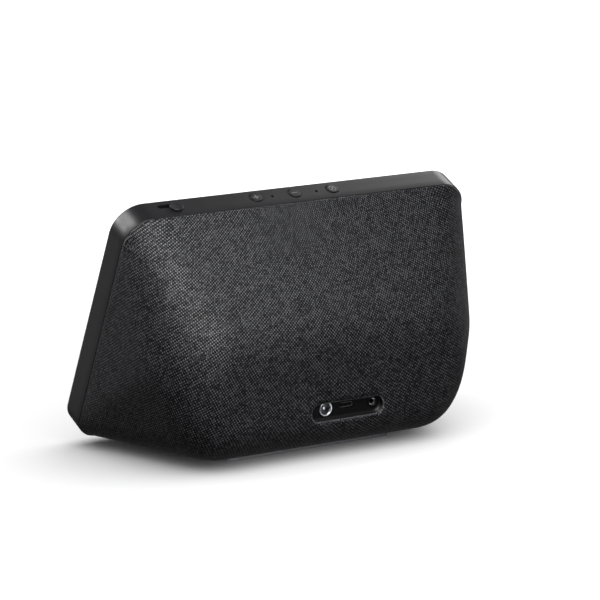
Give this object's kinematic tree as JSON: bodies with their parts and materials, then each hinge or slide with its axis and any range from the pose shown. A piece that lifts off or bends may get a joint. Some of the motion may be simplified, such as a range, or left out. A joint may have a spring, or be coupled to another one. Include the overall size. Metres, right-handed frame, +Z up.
{
  "type": "smart speaker",
  "caption": "Tabletop smart speaker with a tilted glass screen in a black frame, a rounded fabric-covered body, push keys and a camera shutter on top and sockets at the back.",
  "frame": {"origin": "on the table, under the middle of the object's box", "axes": "+Z up, the screen faces -Y and leans back 25 degrees, +X is on the right of someone facing the screen, the fabric back faces +Y"},
  "size_m": [0.2004, 0.1008, 0.1307],
  "materials": {
    "satin_black_plastic": "satin moulded ABS, lightly textured",
    "inner_black_plastic": "matt moulded plastic",
    "charcoal_fabric": "woven heather polyester",
    "black_glass": "polished, printed black behind",
    "soft_rubber": "matt",
    "bright_metal": "bright nickel plate",
    "sheet_metal": "plain sheet",
    "screw_steel": "black zinc",
    "circuit_board": "solder resist",
    "amber_film": "polyimide film",
    "paper_cone": "pressed pulp",
    "ferrite": "plated ring magnet",
    "display_module": "module with a metal back"
  },
  "bodies": {
    "speaker": {"front_frame": "satin_black_plastic", "port_panel": "satin_black_plastic", "camera_module": "inner_black_plastic", "light_sensor": "inner_black_plastic", "key_switch_1": "inner_black_plastic", "key_switch_2": "inner_black_plastic", "key_switch_3": "inner_black_plastic", "rear_housing": "inner_black_plastic", "base_plate": "inner_black_plastic", "usb_tongue": "inner_black_plastic", "audio_jack": "inner_black_plastic", "speaker_box": "inner_black_plastic", "speaker_baffle": "inner_black_plastic", "fabric_cover": "charcoal_fabric", "cover_glass": "black_glass", "camera_lens": "black_glass", "display_gasket": "soft_rubber", "mic_boot_1": "soft_rubber", "mic_boot_2": "soft_rubber", "rubber_foot": "soft_rubber", "left_surround": "soft_rubber", "right_surround": "soft_rubber", "radiator_surround": "soft_rubber", "dc_jack": "bright_metal", "dc_jack_pin": "bright_metal", "usb_shell": "bright_metal", "soc_shield": "bright_metal", "display_chassis": "sheet_metal", "heat_spreader": "sheet_metal", "microphone_1": "sheet_metal", "microphone_2": "sheet_metal", "left_basket": "sheet_metal", "right_basket": "sheet_metal", "board_screw_1": "screw_steel", "board_screw_2": "screw_steel", "board_screw_3": "screw_steel", "board_screw_4": "screw_steel", "base_screw_1": "screw_steel", "base_screw_2": "screw_steel", "base_screw_3": "screw_steel", "base_screw_4": "screw_steel", "key_board": "circuit_board", "main_board": "circuit_board", "port_board": "circuit_board", "wifi_antenna_1": "amber_film", "wifi_antenna_2": "amber_film", "display_flex": "amber_film", "port_flex": "amber_film", "left_magnet": "ferrite", "right_magnet": "ferrite", "lcd_panel": "display_module"},
    "volume_up": {"volume_up_key": "satin_black_plastic"},
    "volume_down": {"volume_down_key": "satin_black_plastic"},
    "mic_mute": {"mic_mute_key": "satin_black_plastic"},
    "shutter": {"shutter_slider": "satin_black_plastic", "shutter_blade": "inner_black_plastic"},
    "left_diaphragm": {"left_cone": "paper_cone"},
    "right_diaphragm": {"right_cone": "paper_cone"},
    "passive_diaphragm": {"radiator_diaphragm": "paper_cone"}
  },
  "joints": [
    {"name": "volume_up_press", "type": "slide", "parent": "speaker", "child": "volume_up", "axis": [0, -0.4226, -0.9063], "range_m": [0, 0.0005], "stiffness_N_per_m": 1500, "springref_m": -0.0003},
    {"name": "volume_down_press", "type": "slide", "parent": "speaker", "child": "volume_down", "axis": [0, -0.4226, -0.9063], "range_m": [0, 0.0005], "stiffness_N_per_m": 1500, "springref_m": -0.0003},
    {"name": "mic_mute_press", "type": "slide", "parent": "speaker", "child": "mic_mute", "axis": [0, -0.4226, -0.9063], "range_m": [0, 0.0005], "stiffness_N_per_m": 1500, "springref_m": -0.0003},
    {"name": "shutter_slide", "type": "slide", "parent": "speaker", "child": "shutter", "axis": [1, 0, 0], "range_m": [0, 0.0075]},
    {"name": "left_cone_travel", "type": "slide", "parent": "speaker", "child": "left_diaphragm", "axis": [0, 1, 0], "range_m": [-0.002, 0.002], "stiffness_N_per_m": 1500},
    {"name": "right_cone_travel", "type": "slide", "parent": "speaker", "child": "right_diaphragm", "axis": [0, 1, 0], "range_m": [-0.002, 0.002], "stiffness_N_per_m": 1500},
    {"name": "passive_travel", "type": "slide", "parent": "speaker", "child": "passive_diaphragm", "axis": [0, 1, 0], "range_m": [-0.003, 0.003], "stiffness_N_per_m": 800}
  ]
}
